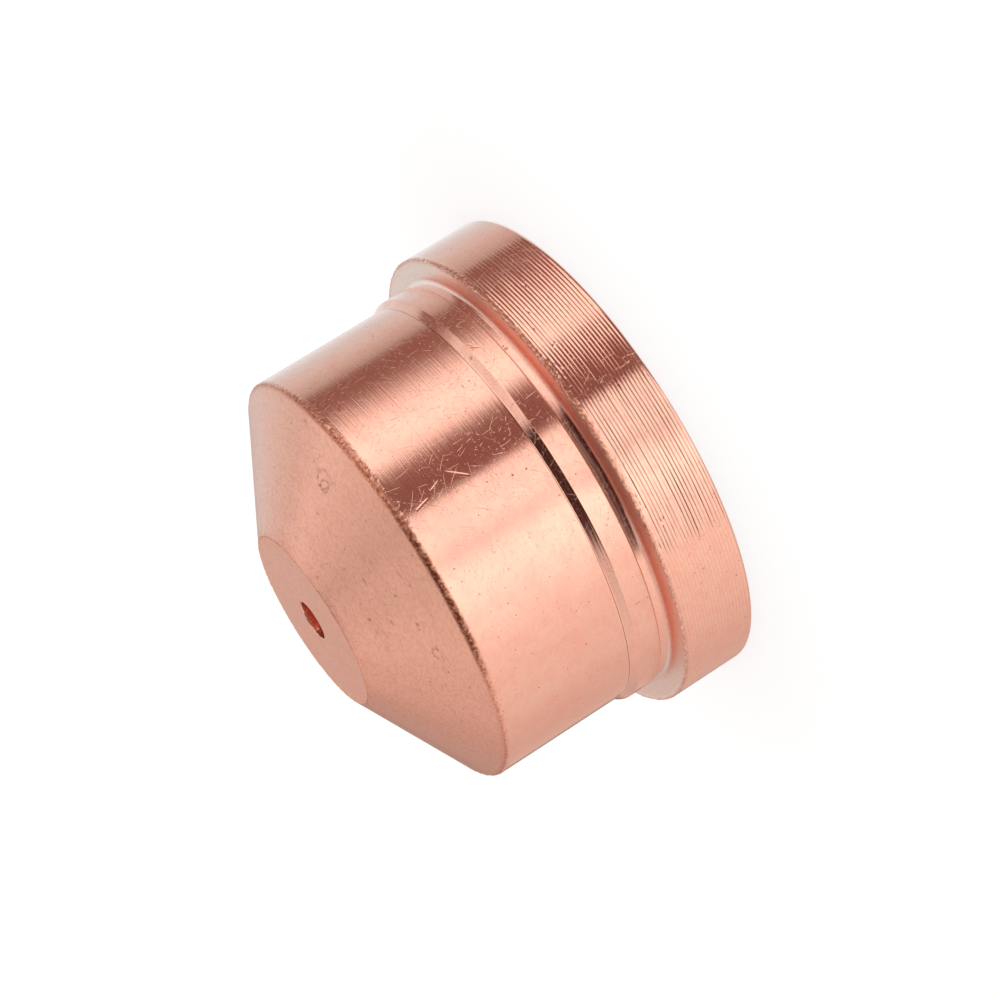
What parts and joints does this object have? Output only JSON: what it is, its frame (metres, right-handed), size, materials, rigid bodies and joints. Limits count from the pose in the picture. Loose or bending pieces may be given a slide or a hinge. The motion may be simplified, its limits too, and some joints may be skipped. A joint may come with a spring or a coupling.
{
  "type": "plasma torch nozzle",
  "caption": "Turned copper plasma torch nozzle: flat tip with an orifice, blunt cone, cylindrical body with a raised land, relief groove and rear flange, bored hollow from the rear.",
  "frame": {"origin": "centre of the rear face, on the plane that the nozzle stands on", "axes": "+Z along the turning axis towards the flat tip; X and Y are alike, because the part is round"},
  "size_m": [0.022, 0.022, 0.0148],
  "materials": {
    "copper": "bare machined copper, fine turning marks, satin"
  },
  "bodies": {
    "root": {"nozzle": "copper"}
  },
  "joints": []
}
